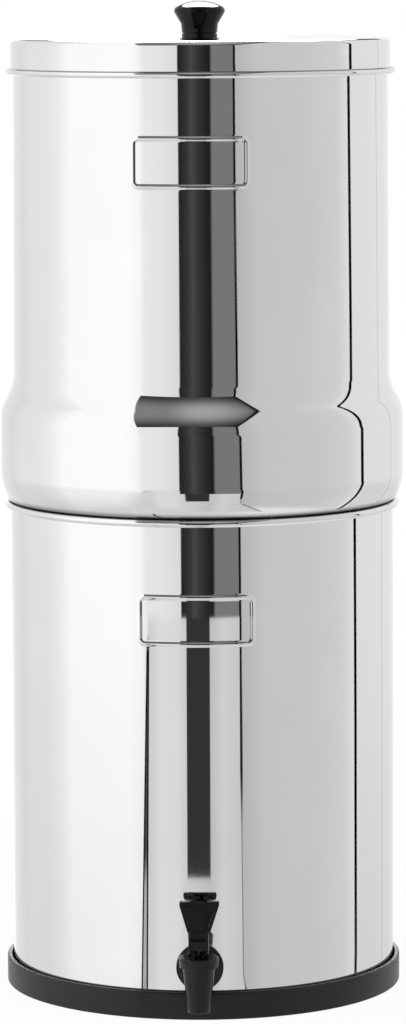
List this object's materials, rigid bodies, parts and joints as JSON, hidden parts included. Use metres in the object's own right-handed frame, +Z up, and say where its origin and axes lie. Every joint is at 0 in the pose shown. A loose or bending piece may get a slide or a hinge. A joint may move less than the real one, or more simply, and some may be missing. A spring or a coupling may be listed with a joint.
{
  "type": "gravity water filter",
  "caption": "Gravity water filter: two nesting mirror-steel chambers with a knobbed lid, carbon elements inside, a black lever tap at the front and a rubber base ring.",
  "frame": {"origin": "centre of the base ring, in the plane that it stands on, on the axis of the vessel", "axes": "+Z up along the vessel's axis, -Y forwards to the tap, +X to the right seen from the front"},
  "size_m": [0.2666, 0.3074, 0.65],
  "materials": {
    "mirror_steel": "mirror-polished stainless steel",
    "base_rubber": "black moulded rubber, satin",
    "washer_rubber": "black rubber, matt",
    "tap_plastic": "black moulded plastic, semi-gloss",
    "knob_plastic": "black moulded plastic, gloss",
    "fastener_steel": "plain stainless steel",
    "seat_silicone": "translucent silicone, matt",
    "filter_carbon": "black porous carbon",
    "filter_plastic": "black moulded plastic, matt"
  },
  "bodies": {
    "lower": {"lower_chamber": "mirror_steel", "base_ring": "base_rubber", "tap_body": "tap_plastic", "tap_outer_washer": "washer_rubber", "tap_inner_washer": "washer_rubber", "tap_nut": "tap_plastic", "tap_bonnet": "tap_plastic", "tap_spring": "fastener_steel"},
    "stem": {"tap_stem": "tap_plastic", "tap_seat": "seat_silicone", "lever_pin": "tap_plastic"},
    "lever": {"tap_lever": "tap_plastic"},
    "upper": {"upper_chamber": "mirror_steel", "filter_element_1": "filter_carbon", "filter_element_2": "filter_carbon", "filter_element_3": "filter_carbon", "filter_element_4": "filter_carbon", "filter_cap_1": "filter_plastic", "filter_cap_2": "filter_plastic", "filter_cap_3": "filter_plastic", "filter_cap_4": "filter_plastic", "filter_base_1": "filter_plastic", "filter_base_2": "filter_plastic", "filter_base_3": "filter_plastic", "filter_base_4": "filter_plastic", "filter_washer_1": "washer_rubber", "filter_washer_2": "washer_rubber", "filter_washer_3": "washer_rubber", "filter_washer_4": "washer_rubber", "wing_nut_1": "filter_plastic", "wing_nut_2": "filter_plastic", "wing_nut_3": "filter_plastic", "wing_nut_4": "filter_plastic"},
    "lid": {"lid": "mirror_steel", "lid_knob": "knob_plastic", "knob_collar": "knob_plastic", "knob_screw": "fastener_steel", "knob_screw_washer": "fastener_steel"}
  },
  "joints": [
    {"name": "chamber_lift", "type": "slide", "parent": "lower", "child": "upper", "axis": [0, 0, 1], "range_m": [0, 0.1]},
    {"name": "lid_lift", "type": "slide", "parent": "upper", "child": "lid", "axis": [0, 0, 1], "range_m": [0, 0.12]},
    {"name": "stem_lift", "type": "slide", "parent": "lower", "child": "stem", "axis": [0, 0, 1], "range_m": [0, 0.00301], "deforming": ["tap_spring"]},
    {"name": "lever_tilt", "type": "hinge", "parent": "stem", "child": "lever", "pos_m": [0, -0.1612, 0.05855], "axis": [1, 0, 0], "range_deg": [0, 50], "stiffness_Nm_per_rad": 0.05, "springref_deg": -11.46}
  ],
  "couplings": [
    {"joint": "stem_lift", "follows": "lever_tilt", "m_per_rad": 0.0034377}
  ]
}
